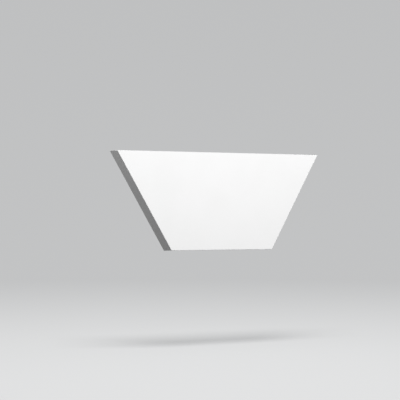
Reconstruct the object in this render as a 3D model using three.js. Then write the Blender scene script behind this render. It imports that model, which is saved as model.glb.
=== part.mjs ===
// A smooth wall panel in the shape of half a regular hexagon, long base up, with a front face that
// slopes away from its left leg. Millimetres. The panel is held by its flat back, which lies in the
// plane y = 0. The front faces -Y, +X runs along the long base and +Z is up. The origin is the
// middle of the back.

import * as THREE from "three";

// Driving dimensions
const SIDE = 172.5; // each leg and the short base; the long base is twice as long
const THICK_EDGE = 30; // thickness all along the left leg
const THIN_CORNER = 9; // thickness at the long base's right end, the corner farthest from that leg
const DRAFT_DEGREES = 2; // lean of each side wall towards the middle, so that it leaves its mould
const FRONT_RADIUS = 0.5; // rounding between a side wall and the front face
const CORNER_RADIUS = 0.6; // rounding of the edge between two side walls
const ROUNDING_STEPS = 4; // facets across each rounding

// Paint
const PAINT_WHITE = "#f4f4f1";
const PAINT_ROUGHNESS = 0.6;

// The panel is worked out lying on its back: x and y run over the back, z is the thickness.
const HEIGHT = SIDE * Math.sin(Math.PI / 3);
const DRAFT = Math.tan(THREE.MathUtils.degToRad(DRAFT_DEGREES));

// The outline's corners, anticlockwise from the top of the left leg. A side wall runs from each
// corner to the next one.
const LEG_TOP = new THREE.Vector2(-SIDE, HEIGHT / 2);
const LEG_FOOT = new THREE.Vector2(-SIDE / 2, -HEIGHT / 2);
const RIGHT_FOOT = new THREE.Vector2(SIDE / 2, -HEIGHT / 2);
const FAR_CORNER = new THREE.Vector2(SIDE, HEIGHT / 2);
const CORNERS = [LEG_TOP, LEG_FOOT, RIGHT_FOOT, FAR_CORNER];

// The direction that the wall from one corner to the next faces, away from the middle.
function wallFacing(corner, nextCorner) {
  const along = nextCorner.clone().sub(corner).normalize();
  return new THREE.Vector2(along.y, -along.x);
}

const LEG_FACING = wallFacing(LEG_TOP, LEG_FOOT);

// How far a point lies from the left leg, towards the far corner.
function fromLeftLeg(point) {
  return LEG_TOP.clone().sub(point).dot(LEG_FACING);
}

const SLOPE = (THICK_EDGE - THIN_CORNER) / fromLeftLeg(FAR_CORNER);

// The front face's height over a point of the back. The face is one plane.
function frontHeight(point) {
  return THICK_EDGE - SLOPE * fromLeftLeg(point);
}

// One upright line of the surface at a corner. `before` and `after` are the directions that the
// walls on either side of it face, and `turn` goes from 0, at the end of the wall before the corner,
// to 1, at the start of the wall after it. The line climbs the drafted wall from the back and then
// bends over the rounding onto the front face.
function surfaceLine(corner, before, after, turn) {
  const swing = turn * Math.acos(before.dot(after));
  const outward = before.clone().rotateAround(new THREE.Vector2(), swing);

  // Moving the corner by `inward` moves both of its walls 1 mm towards the middle.
  const inward = before.clone().add(after).divideScalar(-1 - before.dot(after));
  const middle = corner.clone().addScaledVector(inward, CORNER_RADIUS);
  const foot = middle.clone().addScaledVector(outward, CORNER_RADIUS);

  // The wall's lean at its top, where it meets the rounding, depends on the height there, which
  // itself drops or rises with the lean because the front slopes.
  const rise = frontHeight(foot.clone().add(inward)) - frontHeight(foot);
  const wallTop = (frontHeight(foot) - FRONT_RADIUS) / (1 - DRAFT * rise);
  middle.addScaledVector(inward, DRAFT * wallTop);

  const line = [new THREE.Vector3(foot.x, foot.y, 0)];
  for (let step = 0; step <= ROUNDING_STEPS; step += 1) {
    const bend = (step / ROUNDING_STEPS) * (Math.PI / 2);
    const reach = CORNER_RADIUS - FRONT_RADIUS * (1 - Math.cos(bend));
    const point = middle.clone().addScaledVector(outward, reach);
    const height = frontHeight(point) - FRONT_RADIUS * (1 - Math.sin(bend));
    line.push(new THREE.Vector3(point.x, point.y, height));
  }
  return line;
}

// The closed body: the surface lines stand side by side round the outline, each joined to the next
// one by a strip, and a flat cap closes the back and the front.
function panelGeometry() {
  const lines = [];
  CORNERS.forEach((corner, i) => {
    const before = wallFacing(CORNERS.at(i - 1), corner);
    const after = wallFacing(corner, CORNERS[(i + 1) % CORNERS.length]);
    for (let step = 0; step <= ROUNDING_STEPS; step += 1) {
      lines.push(surfaceLine(corner, before, after, step / ROUNDING_STEPS));
    }
  });

  const levels = lines[0].length;
  const index = [];
  const at = (line, level) => (line % lines.length) * levels + level;
  for (let line = 0; line < lines.length; line += 1) {
    for (let level = 0; level < levels - 1; level += 1) {
      const low = at(line, level);
      const lowNext = at(line + 1, level);
      const high = at(line, level + 1);
      const highNext = at(line + 1, level + 1);
      index.push(low, lowNext, highNext, low, highNext, high);
    }
  }

  const outline = lines.map(([foot]) => new THREE.Vector2(foot.x, foot.y));
  for (const [a, b, c] of THREE.ShapeUtils.triangulateShape(outline, [])) {
    index.push(at(a, 0), at(c, 0), at(b, 0));
    index.push(at(a, levels - 1), at(b, levels - 1), at(c, levels - 1));
  }

  const geometry = new THREE.BufferGeometry().setFromPoints(lines.flat());
  geometry.setIndex(index);
  geometry.computeVertexNormals();
  return geometry;
}

function trapezoidPanel() {
  const paint = new THREE.MeshStandardMaterial({
    color: PAINT_WHITE,
    roughness: PAINT_ROUGHNESS,
    metalness: 0,
    flatShading: true,
  });
  const panel = new THREE.Mesh(panelGeometry(), paint);
  panel.name = "trapezoid_panel";
  return panel;
}

// Stands the panel up: its own y turns up and its thickness turns to -Y.
const wallPanel = new THREE.Group();
wallPanel.rotation.x = Math.PI / 2;
wallPanel.add(trapezoidPanel());

export default wallPanel;
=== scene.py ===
"""A half-hexagon wall panel, moulded in rigid foam and primed white, in a plain pale studio.

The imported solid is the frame: the moulding is cut to that solid's own faces, so it has the same
form, and gets fine rounded edges, its primer and the raw foam of its back. Everything is in
metres, with +Z up, the back in the plane y = 0 and the front facing -Y.
"""

import logging
import math
from collections.abc import Callable
from dataclasses import dataclass
from enum import Enum

import bmesh
import bpy
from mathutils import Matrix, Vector


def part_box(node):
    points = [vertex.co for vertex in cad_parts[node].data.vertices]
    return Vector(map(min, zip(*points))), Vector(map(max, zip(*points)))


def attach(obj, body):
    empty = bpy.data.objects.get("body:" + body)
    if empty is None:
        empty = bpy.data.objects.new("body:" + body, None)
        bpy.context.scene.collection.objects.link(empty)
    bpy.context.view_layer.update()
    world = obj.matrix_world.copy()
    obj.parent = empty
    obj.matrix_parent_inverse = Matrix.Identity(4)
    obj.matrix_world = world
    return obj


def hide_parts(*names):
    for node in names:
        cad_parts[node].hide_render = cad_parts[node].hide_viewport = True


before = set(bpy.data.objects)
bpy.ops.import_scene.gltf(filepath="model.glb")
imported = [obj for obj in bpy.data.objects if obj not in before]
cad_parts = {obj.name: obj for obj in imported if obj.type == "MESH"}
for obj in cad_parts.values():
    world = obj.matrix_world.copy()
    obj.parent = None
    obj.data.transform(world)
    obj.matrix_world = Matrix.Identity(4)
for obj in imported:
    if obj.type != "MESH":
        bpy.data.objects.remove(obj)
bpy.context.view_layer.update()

log = logging.getLogger("wall_panel")

MM = 0.001
CAD_NODE = "trapezoid_panel"
BODY = "root"
SMOOTH_ANGLE = math.radians(40)
UP = Vector((0.0, 0.0, 1.0))
LEVEL_WITHIN = math.radians(1)
HEXAGON_TURN = math.radians(60)
Colour = tuple[float, float, float, float]
WHITE: Colour = (1.0, 1.0, 1.0, 1.0)
MeshElement = bmesh.types.BMFace | bmesh.types.BMEdge


class MeshPart(Enum):
    """What is selected on a mesh in edit mode."""

    FACES = "FACE"
    EDGES = "EDGE"


def select(
    piece: bpy.types.Object, kind: MeshPart, wanted: Callable[[MeshElement], bool]
) -> None:
    """Selects only the wanted faces or edges of a mesh in edit mode.

    Args:
        piece: The mesh's object.
        kind: Whether faces or edges are selected.
        wanted: Says whether a face or an edge is wanted.
    """
    bpy.ops.mesh.select_mode(type=kind.value)
    bpy.ops.mesh.select_all(action="DESELECT")
    mesh = bmesh.from_edit_mesh(piece.data)
    for part in mesh.faces if kind is MeshPart.FACES else mesh.edges:
        if wanted(part):
            part.select_set(True)
    bmesh.update_edit_mesh(piece.data)


def order_faces(piece: bpy.types.Object) -> None:
    """Makes all the faces of a mesh in edit mode again, in the order of their points.

    A bevel leaves them in an order that changes from run to run. In this one the mesh comes out
    the same each time, down to the triangles that its flat faces are cut into.

    Args:
        piece: The mesh's object.
    """
    mesh = bmesh.from_edit_mesh(piece.data)
    mesh.verts.index_update()
    rings = []
    for face in mesh.faces:
        ring = list(face.verts)
        first = min(range(len(ring)), key=lambda corner: ring[corner].index)
        rings.append(ring[first:] + ring[:first])
    rings.sort(key=lambda ring: [point.index for point in ring])
    bmesh.ops.delete(mesh, geom=mesh.faces[:], context="FACES_ONLY")
    for ring in rings:
        mesh.faces.new(ring)
    mesh.normal_update()
    bmesh.update_edit_mesh(piece.data)


class PanelFace(Enum):
    """The broad faces of the panel, each with the direction that it roughly faces."""

    FRONT = (0.0, -1.0, 0.0)
    BACK = (0.0, 1.0, 0.0)
    LONG_BASE = (0.0, 0.0, 1.0)
    LEFT_LEG = (-math.sin(HEXAGON_TURN), 0.0, -math.cos(HEXAGON_TURN))
    SHORT_BASE = (0.0, 0.0, -1.0)
    RIGHT_LEG = (math.sin(HEXAGON_TURN), 0.0, -math.cos(HEXAGON_TURN))

    @classmethod
    def nearest(cls, normal: Vector) -> "PanelFace":
        """The face whose rough direction is closest to a normal."""
        return min(cls, key=lambda face: normal.angle(Vector(face.value)))


WALLS = (PanelFace.LONG_BASE, PanelFace.LEFT_LEG, PanelFace.SHORT_BASE, PanelFace.RIGHT_LEG)


@dataclass(frozen=True)
class Plane:
    """The plane of one broad flat face of the frame.

    Attributes:
        point: A point on it.
        normal: The direction that it faces, of length 1.
        spread: How far a face's normal may turn from it and still count as lying on it.
    """

    point: Vector
    normal: Vector
    spread: float = math.radians(0.5)

    @classmethod
    def of_frame(cls, face: PanelFace) -> "Plane":
        """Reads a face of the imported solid.

        Args:
            face: Which of the panel's faces is wanted.

        Returns:
            The plane of the largest triangle that faces that way.
        """
        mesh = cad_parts[CAD_NODE].data
        near = [p for p in mesh.polygons if PanelFace.nearest(p.normal) is face]
        largest = max(near, key=lambda polygon: polygon.area)
        return cls(mesh.vertices[largest.vertices[0]].co.copy(), largest.normal.copy())

    def borders(self, edge: bmesh.types.BMEdge) -> bool:
        """Whether just one of the edge's two faces lies on this plane."""
        return sum(face.normal.angle(self.normal) < self.spread for face in edge.link_faces) == 1


@dataclass(frozen=True)
class Shade:
    """A shader socket that takes part in sums: an expression on it adds its Math nodes.

    Attributes:
        shader: The shader that the socket belongs to.
        socket: The output socket.
    """

    shader: "Shader"
    socket: bpy.types.NodeSocket

    def _math(self, operation: str, *values: "Shade | float") -> "Shade":
        """Adds a Math node on these values, in order."""
        return self.shader.node("Math", {"operation": operation}, dict(enumerate(values)))

    def __add__(self, other: "Shade | float") -> "Shade":
        """This value and another together."""
        return self._math("ADD", self, other)

    def __sub__(self, other: "Shade | float") -> "Shade":
        """This value less another."""
        return self._math("SUBTRACT", self, other)

    def __rsub__(self, other: float) -> "Shade":
        """A number less this value."""
        return self._math("SUBTRACT", other, self)

    def __mul__(self, other: "Shade | float") -> "Shade":
        """This value times another."""
        return self._math("MULTIPLY", self, other)

    def __pow__(self, power: float) -> "Shade":
        """This value to a power."""
        return self._math("POWER", self, power)

    __radd__ = __add__
    __rmul__ = __mul__

    def at_most(self, other: "Shade | float") -> "Shade":
        """The smaller of this value and another."""
        return self._math("MINIMUM", self, other)

    def step(self, low: float, high: float) -> "Shade":
        """A smooth step of this value, from 0 at `low` to 1 at `high`."""
        sockets = {"Value": self, "From Min": low, "From Max": high}
        return self.shader.node("MapRange", {"interpolation_type": "SMOOTHSTEP"}, sockets)


class Shader:
    """A material's node tree, with short ways to add its nodes.

    Attributes:
        CLOUD_DETAIL: How many finer layers a pattern of clouds has.
        CLOUD_MEAN: The mean of such a pattern.
        material: The material.
        tree: Its node tree.
        place: The surface's own point, in the piece's frame.
    """

    CLOUD_DETAIL = 3.0
    CLOUD_MEAN = 0.5

    def __init__(self, name: str) -> None:
        """Starts a material that has no nodes but the one for its place.

        Args:
            name: The material's name.
        """
        self.material = bpy.data.materials.new(name)
        self.material.use_nodes = True
        self.tree = self.material.node_tree
        self.tree.nodes.clear()
        self.place = self.node("TexCoord", output="Object")

    def node(
        self,
        kind: str,
        settings: dict[str, object] | None = None,
        sockets: dict[str | int, object] | None = None,
        output: str | None = None,
    ) -> Shade:
        """Adds any node.

        Args:
            kind: The node's type, without its leading "ShaderNode".
            settings: The node's own settings, which are set first.
            sockets: A value or a link for each input, by its name or number.
            output: The output that is wanted, or the first one.

        Returns:
            That output.
        """
        node = self.tree.nodes.new("ShaderNode" + kind)
        for name, value in (settings or {}).items():
            setattr(node, name, value)
        named = {s.name: s for s in reversed(node.inputs) if s.enabled}
        for name, value in (sockets or {}).items():
            socket = node.inputs[name] if isinstance(name, int) else named[name]
            if isinstance(value, Shade):
                self.tree.links.new(value.socket, socket)
            else:
                socket.default_value = value
        results = [s for s in node.outputs if s.enabled and output in (None, s.name)]
        return Shade(self, results[0])

    def clouds(
        self, size: float, seed: float, place: Shade | None = None, output: str | None = None
    ) -> Shade:
        """A soft random pattern.

        Args:
            size: How wide one cloud is, in metres.
            seed: A number that gives each pattern clouds of its own.
            place: Where the pattern is read, if not at the surface's own point.
            output: "Color" for three patterns in one, or nothing for a single one.

        Returns:
            A value from 0 to 1, mostly near CLOUD_MEAN, or three of them.
        """
        sockets = {
            "Vector": place or self.place,
            "W": seed,
            "Scale": 1 / size,
            "Detail": self.CLOUD_DETAIL,
        }
        return self.node("TexNoise", {"noise_dimensions": "4D"}, sockets, output)

    def nudged(self, reach: float, size: float, seed: float) -> Shade:
        """The surface's own point, moved about, so that a pattern read there is less regular.

        Args:
            reach: How far apart the two ends of the movement may be, in metres.
            size: How wide one swing of the movement is, in metres.
            seed: A number that gives each movement swings of its own.

        Returns:
            The moved point.
        """
        swings = self.clouds(size, seed, output="Color")
        mean = (self.CLOUD_MEAN,) * 3
        centred = self.node("VectorMath", {"operation": "SUBTRACT"}, {0: swings, 1: mean})
        sockets = {0: centred, 1: (reach,) * 3, 2: self.place}
        return self.node("VectorMath", {"operation": "MULTIPLY_ADD"}, sockets)

    def blend(self, share: Shade, first: Shade | Colour, second: Shade | Colour) -> Shade:
        """A colour that goes from the first to the second as `share` goes from 0 to 1."""
        sockets = {"Factor": share, "A": first, "B": second}
        return self.node("Mix", {"data_type": "RGBA"}, sockets)

    def depth_inside(self, plane: Plane) -> Shade:
        """Measures how far the surface's point lies behind a plane.

        Args:
            plane: The plane.

        Returns:
            The depth, in metres.
        """
        sockets = {0: self.place, 1: plane.normal}
        along = self.node("VectorMath", {"operation": "DOT_PRODUCT"}, sockets, "Value")
        return plane.normal.dot(plane.point) - along

    def finish(self, surface: Shade) -> bpy.types.Material:
        """Puts a surface on the material's output.

        Args:
            surface: The output of the node that makes the surface.

        Returns:
            The finished material.
        """
        output = self.tree.nodes.new("ShaderNodeOutputMaterial")
        self.tree.links.new(surface.socket, output.inputs["Surface"])
        return self.material


@dataclass(frozen=True)
class Coat:
    """What one finish gives to the surface.

    Attributes:
        colour: The colour.
        roughness: The roughness, from 0 to 1.
        height: The fine relief, in metres.
    """

    colour: Shade
    roughness: Shade
    height: Shade


@dataclass(frozen=True)
class Mottle:
    """Soft clouds that make a finish uneven.

    Attributes:
        size: How wide one cloud is.
        seed: A number that gives the mottle clouds of its own.
        span: Where on the clouds' scale the tint starts, and where it is full.
        tint: How much of the finish's second colour a full tint brings.
        dulling: How much rougher the finish is at the top of the clouds' scale than at its foot.
    """

    size: float
    seed: float
    span: tuple[float, float]
    tint: float
    dulling: float = 0.0

    def tint_by(self, clouds: Shade) -> Shade:
        """How much of the second colour the clouds bring at each point."""
        return clouds.step(*self.span) * self.tint

    def dulling_by(self, clouds: Shade) -> Shade:
        """How much rougher the clouds make each point than the mean."""
        return (clouds - Shader.CLOUD_MEAN) * self.dulling


@dataclass(frozen=True)
class Primer:
    """Matte white primer, sprayed over the smooth skin of the moulding.

    Attributes:
        full: The colour where the coat is full.
        thin: The colour where it is a little thinner.
        patches: The broad uneven patches of the coat.
        grains: The fine grains of the spray.
        grain_height: How high the grains stand.
        roughness: The coat's mean roughness.
    """

    full: Colour = (0.872, 0.872, 0.873, 1.0)
    thin: Colour = (0.850, 0.850, 0.849, 1.0)
    patches: Mottle = Mottle(45 * MM, seed=1.0, span=(0.35, 0.75), tint=0.6, dulling=0.1)
    grains: Mottle = Mottle(1.4 * MM, seed=2.0, span=(0.55, 0.8), tint=0.4, dulling=0.12)
    grain_height: float = 0.022 * MM
    roughness: float = 0.58

    def coat(self, shader: Shader) -> Coat:
        """Adds the primer's nodes.

        Args:
            shader: The material's shader.

        Returns:
            The primer's colour, roughness and relief.
        """
        patches = shader.clouds(self.patches.size, self.patches.seed)
        grains = shader.clouds(self.grains.size, self.grains.seed)
        thinness = self.patches.tint_by(patches) + self.grains.tint_by(grains)
        colour = shader.blend(thinness, self.full, self.thin)
        dulling = self.patches.dulling_by(patches) + self.grains.dulling_by(grains)
        return Coat(colour, self.roughness + dulling, grains * self.grain_height)


@dataclass(frozen=True)
class Bubbles:
    """One kind of bubble in the foam, cut open where the back is planed.

    Attributes:
        apart: How far apart the bubbles lie.
        widest: The width of the widest.
        seed: A number that gives each kind rims of its own.
        rarity: The power on each bubble's chance: the higher it is, the rarer wide ones are.
        ragged: How far the bubbles' rims are pulled about.
        soft: How wide the slope at a rim is, as a share of the widest bubble's radius.
    """

    apart: float
    widest: float
    seed: float
    rarity: float = 3.0
    ragged: float = 1.4 * MM
    soft: float = 0.5

    def pits(self, shader: Shader) -> Shade:
        """Adds the nodes of the open bubbles.

        Args:
            shader: The material's shader.

        Returns:
            A value that is 0 outside the bubbles, rises inside them, and is 1 in the widest.
        """
        place = shader.nudged(self.ragged, self.widest, self.seed)
        sockets = {"Vector": place, "Scale": 1 / self.apart}
        distance = shader.node("TexVoronoi", sockets=sockets, output="Distance")
        own_colour = shader.node("TexVoronoi", sockets=sockets, output="Color")
        chance = shader.node("SeparateColor", sockets={"Color": own_colour}, output="Red")
        widest_radius = self.widest / 2 / self.apart
        radius = chance**self.rarity * widest_radius
        return (radius - distance).step(0.0, self.soft * widest_radius)


@dataclass(frozen=True)
class RawFoam:
    """The bare back: cream rigid foam, planed flat, with its bubbles cut open.

    Attributes:
        pale: The foam's usual colour.
        deep: The colour of its denser streaks.
        pit_shade: The painted shade inside an open bubble: a darker colour drawn where the hollow
            would be shaded.
        streaks: The marks of the planing, which run along the panel.
        streak_length: How long they are.
        cells: The smallest cells.
        cell_height: How high the walls between them stand.
        pinholes: The small bubbles.
        voids: The few wide ones.
        bubble_depth: How deep the bubbles are.
        bubble_shade: How strongly that painted shade shows in the bubbles.
        roughness: The foam's mean roughness.
    """

    pale: Colour = (0.750, 0.707, 0.620, 1.0)
    deep: Colour = (0.695, 0.648, 0.553, 1.0)
    # Painted shade: the inside of an open bubble is drawn darker than the foam, as shade in the
    # hollow.
    pit_shade: Colour = (0.40, 0.365, 0.29, 1.0)
    streaks: Mottle = Mottle(9 * MM, seed=3.0, span=(0.35, 0.7), tint=0.6)
    streak_length: float = 110 * MM
    cells: Mottle = Mottle(1.2 * MM, seed=4.0, span=(0.3, 0.7), tint=0.4, dulling=0.1)
    cell_height: float = 0.06 * MM
    pinholes: Bubbles = Bubbles(apart=1.8 * MM, widest=0.8 * MM, seed=6.0)
    voids: Bubbles = Bubbles(apart=8 * MM, widest=2.8 * MM, seed=7.0)
    bubble_depth: float = 0.3 * MM
    bubble_shade: float = 0.7
    roughness: float = 0.9

    def coat(self, shader: Shader) -> Coat:
        """Adds the foam's nodes.

        Args:
            shader: The material's shader.

        Returns:
            The foam's colour, roughness and relief.
        """
        stretch = (self.streaks.size / self.streak_length, 1.0, 1.0)
        drawn_out = shader.node("Mapping", sockets={"Vector": shader.place, "Scale": stretch})
        streaks = shader.clouds(self.streaks.size, self.streaks.seed, drawn_out)
        cells = shader.clouds(self.cells.size, self.cells.seed)
        density = self.streaks.tint_by(streaks) + self.cells.tint_by(cells)
        body = shader.blend(density, self.pale, self.deep)
        pits = (self.pinholes.pits(shader) + self.voids.pits(shader)).at_most(1.0)
        # Painted shade: the open bubbles are blended towards the darker pit colour, which stands
        # in for the shade in their hollows.
        colour = shader.blend(pits * self.bubble_shade, body, self.pit_shade)
        roughness = self.roughness + self.cells.dulling_by(cells)
        height = cells * self.cell_height - pits * self.bubble_depth
        return Coat(colour, roughness, height)


@dataclass(frozen=True)
class PanelFinish:
    """The whole panel's finish: primed on the front and the walls, bare on the back.

    Attributes:
        primer: The finish of all that shows when the panel hangs.
        foam: The finish of the back.
        overspray: How far the primer drifts onto the back's rim.
        tongue_width: How wide the uneven tongues of that drift are.
        tongue_reach: How far the longest tongues reach past the shortest.
        tongue_seed: A number that gives the drift tongues of its own.
        back_skin: How near the back's plane a point counts as on the back.
    """

    primer: Primer = Primer()
    foam: RawFoam = RawFoam()
    overspray: float = 4 * MM
    tongue_width: float = 24 * MM
    tongue_reach: float = 9.6 * MM
    tongue_seed: float = 5.0
    back_skin: float = 0.1 * MM

    def build(self) -> bpy.types.Material:
        """Makes the material.

        Returns:
            The material, which reads the panel's own frame.
        """
        shader = Shader("primed_foam")
        primer = self.primer.coat(shader)
        foam = self.foam.coat(shader)
        bare = self._bare(shader)
        colour = shader.blend(bare, primer.colour, foam.colour)
        roughness = primer.roughness + (foam.roughness - primer.roughness) * bare
        height = primer.height + (foam.height - primer.height) * bare
        relief = shader.node("Bump", sockets={"Height": height, "Distance": 1.0})
        sockets = {"Base Color": colour, "Roughness": roughness, "Normal": relief}
        return shader.finish(shader.node("BsdfPrincipled", sockets=sockets))

    def _bare(self, shader: Shader) -> Shade:
        """Adds the nodes that tell bare foam from primer.

        Args:
            shader: The material's shader.

        Returns:
            How bare the surface is: 1 over most of the back, 0 on its rim and all else.
        """
        in_from_back = shader.depth_inside(Plane.of_frame(PanelFace.BACK))
        on_back = 1 - in_from_back.step(0.0, self.back_skin)
        in_from_rim = shader.depth_inside(Plane.of_frame(WALLS[0]))
        for wall in WALLS[1:]:
            in_from_rim = in_from_rim.at_most(shader.depth_inside(Plane.of_frame(wall)))
        tongues = shader.clouds(self.tongue_width, self.tongue_seed) - Shader.CLOUD_MEAN
        in_from_drift = in_from_rim + tongues * self.tongue_reach
        return in_from_drift.step(0.0, self.overspray) * on_back


@dataclass
class Moulding:
    """The panel itself, cut from a block to the frame's faces and then rounded.

    Attributes:
        corner_radius: The rounding between two walls.
        front_radius: The rounding between a wall and the front.
        back_radius: The rounding between a wall and the trimmed back.
        segments: The facets across each rounding.
        spare: How much larger than the frame the raw block is.
        finish: The panel's finish.
    """

    corner_radius: float = 0.6 * MM
    front_radius: float = 0.5 * MM
    back_radius: float = 0.15 * MM
    segments: int = 8
    spare: float = 20 * MM
    finish: PanelFinish = PanelFinish()

    def build(self) -> bpy.types.Object:
        """Models the panel and gives it its finish.

        Returns:
            The finished piece, at the origin.
        """
        piece = self._raw_block()
        bpy.ops.object.mode_set(mode="EDIT")
        for face in PanelFace:
            self._cut(Plane.of_frame(face))
        self._round_corners(piece)
        self._round_rim(piece, PanelFace.FRONT, self.front_radius)
        self._round_rim(piece, PanelFace.BACK, self.back_radius)
        order_faces(piece)
        bpy.ops.object.mode_set(mode="OBJECT")
        self._smooth(piece)
        piece.data.materials.append(self.finish.build())
        return piece

    def _raw_block(self) -> bpy.types.Object:
        """Adds a block that holds the whole frame with some to spare.

        Returns:
            The block, with its place and size in its mesh.
        """
        low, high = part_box(CAD_NODE)
        bpy.ops.object.select_all(action="DESELECT")
        bpy.ops.mesh.primitive_cube_add(size=1, location=(low + high) / 2)
        piece = bpy.context.active_object
        piece.name = "primed_moulding"
        piece.scale = high - low + Vector((self.spare,) * 3)
        bpy.ops.object.transform_apply(location=True, rotation=True, scale=True)
        return piece

    def _cut(self, plane: Plane) -> None:
        """Takes off all that stands proud of a plane and closes the cut.

        Args:
            plane: The plane.
        """
        bpy.ops.mesh.select_all(action="SELECT")
        bpy.ops.mesh.bisect(
            plane_co=plane.point, plane_no=plane.normal, use_fill=True, clear_outer=True
        )

    def _round_corners(self, piece: bpy.types.Object) -> None:
        """Rounds the four corners, along the edges where one wall meets the next.

        Args:
            piece: The panel, in edit mode.
        """
        planes = [Plane.of_frame(wall) for wall in WALLS]
        for one, other in zip(planes, planes[1:] + planes[:1]):
            turn = one.normal.angle(other.normal)
            select(piece, MeshPart.EDGES, lambda edge: one.borders(edge) and other.borders(edge))
            self._bevel(self.corner_radius, turn)

    def _round_rim(self, piece: bpy.types.Object, face: PanelFace, radius: float) -> None:
        """Rounds all the edges of the front or the back, which meet the walls nearly square."""
        select(piece, MeshPart.EDGES, Plane.of_frame(face).borders)
        self._bevel(radius, turn=math.pi / 2)

    def _bevel(self, radius: float, turn: float) -> None:
        """Rounds the selected edges of the panel, which is in edit mode, to an arc of a circle.

        Args:
            radius: The arc's radius.
            turn: How far the surface turns at such an edge, in radians.
        """
        reach = radius * math.tan(turn / 2)
        # The arc spans a rhombus with the sharp edge at one corner. Its middle lies this share
        # of the way to that corner from the opposite one, and the profile is the share's square.
        fullness = 1 - 1 / (2 + 2 * math.cos(turn / 2))
        bpy.ops.mesh.bevel(
            offset=reach,
            segments=self.segments,
            profile=fullness**2,
            affect="EDGES",
            clamp_overlap=False,
        )

    def _smooth(self, piece: bpy.types.Object) -> None:
        """Shades the roundings smooth and keeps the broad faces flat.

        Args:
            piece: The panel, in object mode.
        """
        bpy.ops.object.shade_smooth_by_angle(angle=SMOOTH_ANGLE)
        weighted = piece.modifiers.new("flat_faces", "WEIGHTED_NORMAL")
        weighted.keep_sharp = True
        bpy.ops.object.modifier_apply(modifier=weighted.name)


@dataclass(frozen=True)
class Softbox:
    """A soft rectangular lamp that points at the panel.

    Attributes:
        name: Its name.
        place: Where it stands.
        size: Its width and height.
        power: Its power, in watts.
    """

    name: str
    place: tuple[float, float, float]
    size: tuple[float, float]
    power: float

    def build(self, lit: bpy.types.Object) -> None:
        """Adds the lamp.

        Args:
            lit: The one object that it lights. What stands in the way still shades it.
        """
        bpy.ops.object.light_add(type="AREA", location=self.place)
        lamp = bpy.context.active_object
        lamp.name = self.name
        lamp.rotation_euler = (-lamp.location).to_track_quat("-Z", "Y").to_euler()
        lamp.data.shape = "RECTANGLE"
        lamp.data.size, lamp.data.size_y = self.size
        lamp.data.energy = self.power
        lamp.visible_camera = False
        lamp.light_linking.receiver_collection = bpy.data.collections.new(f"lit_by_{self.name}")
        lamp.light_linking.receiver_collection.objects.link(lit)


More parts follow.
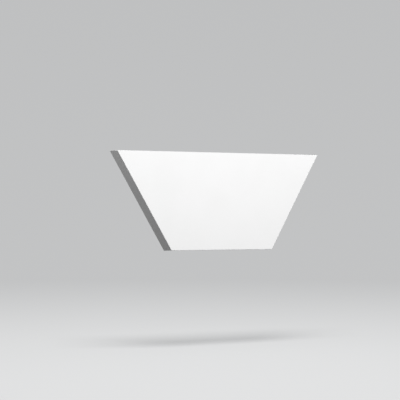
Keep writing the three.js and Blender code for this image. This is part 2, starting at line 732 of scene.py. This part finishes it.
@dataclass
class Studio:
    """A round pale floor that curves up into a backdrop, soft lamps and even light all round.

    Attributes:
        floor_height: The floor's height: the panel hangs well above it.
        radius: The backdrop's distance from the middle.
        cove: The radius of the bend between the floor and the backdrop.
        height: The backdrop's height.
        sides: How many sides the round backdrop has.
        cove_facets: How many facets the bend has.
        pale_grey: The colour of the floor and the backdrop.
        glow: How bright they look where no lamp reaches them.
        lamplight: The share of the lamps' light that they give back.
        all_round: The brightness of the even light.
        panel_lamps: The soft lamps that light the panel.
        floor_lamp: The one that lights the floor and throws the panel's shadow there.
    """

    floor_height: float = -0.22
    radius: float = 3.2
    cove: float = 1.4
    height: float = 4.0
    sides: int = 128
    cove_facets: int = 32
    pale_grey: Colour = (0.98, 0.99, 1.0, 1.0)
    glow: float = 0.48
    lamplight: Colour = (0.15, 0.15, 0.15, 1.0)
    all_round: float = 0.113
    panel_lamps: tuple[Softbox, ...] = (
        Softbox("key", place=(0.13, -1.15, 0.60), size=(1.0, 0.7), power=19.1),
        Softbox("left", place=(-0.55, 0.0, 0.25), size=(0.1, 0.1), power=0.345),
        Softbox("right", place=(1.2, 0.3, 0.0), size=(0.5, 0.3), power=2.2),
        Softbox("back", place=(0.0, 1.6, 0.35), size=(1.2, 0.8), power=23.5),
        Softbox("top", place=(0.0, 0.05, 1.0), size=(0.5, 0.05), power=1.2),
    )
    floor_lamp: Softbox = Softbox("high", place=(-0.2, -0.6, 1.6), size=(0.8, 0.8), power=66.0)

    def build(self, panel: bpy.types.Object) -> None:
        """Builds the whole studio.

        Args:
            panel: The panel that it shows.
        """
        self._even_light()
        backdrop = self._backdrop()
        backdrop.data.materials.append(self._paper())
        for lamp in self.panel_lamps:
            lamp.build(lit=panel)
        self.floor_lamp.build(lit=backdrop)

    def _even_light(self) -> None:
        """Sets the world to one plain brightness."""
        world = bpy.data.worlds.new("even_light")
        world.use_nodes = True
        sky = world.node_tree.nodes["Background"]
        sky.inputs["Color"].default_value = WHITE
        sky.inputs["Strength"].default_value = self.all_round
        bpy.context.scene.world = world

    def _paper(self) -> bpy.types.Material:
        """Makes the matte material of the floor and the backdrop.

        Returns:
            The material.
        """
        shader = Shader("backdrop_paper")
        sockets = {
            "Base Color": self.lamplight,
            "Roughness": 1.0,
            "Specular IOR Level": 0.0,
            "Emission Color": self.pale_grey,
            "Emission Strength": self.glow,
        }
        return shader.finish(shader.node("BsdfPrincipled", sockets=sockets))

    def _backdrop(self) -> bpy.types.Object:
        """Models the floor and the backdrop as one seamless bowl.

        Returns:
            The bowl, which neither shades the panel nor throws light back onto it.
        """
        bpy.ops.object.select_all(action="DESELECT")
        middle = (0.0, 0.0, self.floor_height + self.height / 2)
        bpy.ops.mesh.primitive_cylinder_add(
            vertices=self.sides, radius=self.radius, depth=self.height, location=middle
        )
        bowl = bpy.context.active_object
        bowl.name = "backdrop"
        bpy.ops.object.transform_apply(location=True, rotation=True, scale=True)
        bpy.ops.object.mode_set(mode="EDIT")
        select(bowl, MeshPart.FACES, lambda face: face.normal.angle(UP) < LEVEL_WITHIN)
        bpy.ops.mesh.delete(type="FACE")
        select(bowl, MeshPart.FACES, lambda face: face.normal.angle(-UP) < LEVEL_WITHIN)
        bpy.ops.mesh.region_to_loop()
        bpy.ops.mesh.bevel(
            offset=self.cove, segments=self.cove_facets, affect="EDGES", clamp_overlap=False
        )
        bpy.ops.mesh.select_all(action="SELECT")
        bpy.ops.mesh.flip_normals()
        order_faces(bowl)
        bpy.ops.object.mode_set(mode="OBJECT")
        bpy.ops.object.shade_smooth_by_angle(angle=SMOOTH_ANGLE)
        bowl.visible_diffuse = False
        bowl.visible_shadow = False
        return bowl


@dataclass(frozen=True)
class PhotoCamera:
    """The camera that takes the panel as the photograph shows it.

    Attributes:
        aim: The point in the middle of the picture.
        azimuth: How far round to the right of the panel's front the camera stands.
        elevation: How high above the aim it stands.
        distance: How far from the aim it stands.
        lens: The focal length, in millimetres.
    """

    aim: tuple[float, float, float] = (-0.0334, -0.0150, 0.0018)
    azimuth: float = math.radians(-23.045)
    elevation: float = math.radians(-0.740)
    distance: float = 1.758
    lens: float = 104.46

    def build(self) -> None:
        """Adds the camera and makes it the scene's."""
        across = math.cos(self.elevation)
        outward = Vector(
            (
                math.sin(self.azimuth) * across,
                -math.cos(self.azimuth) * across,
                math.sin(self.elevation),
            )
        )
        bpy.ops.object.camera_add(location=Vector(self.aim) + self.distance * outward)
        camera = bpy.context.active_object
        camera.rotation_euler = (-outward).to_track_quat("-Z", "Y").to_euler()
        camera.data.lens = self.lens
        bpy.context.scene.camera = camera


def main() -> None:
    """Builds the camera, the panel and the studio round it."""
    logging.basicConfig(level=logging.INFO, format="%(name)s: %(message)s")
    bpy.context.scene.view_settings.view_transform = "Standard"
    PhotoCamera().build()
    panel = Moulding().build()
    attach(panel, BODY)
    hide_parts(CAD_NODE)
    log.info("%s: %d faces", panel.name, len(panel.data.polygons))
    Studio().build(panel)
    log.info("studio: floor, backdrop and lamps")


if __name__ == "__main__":
    main()
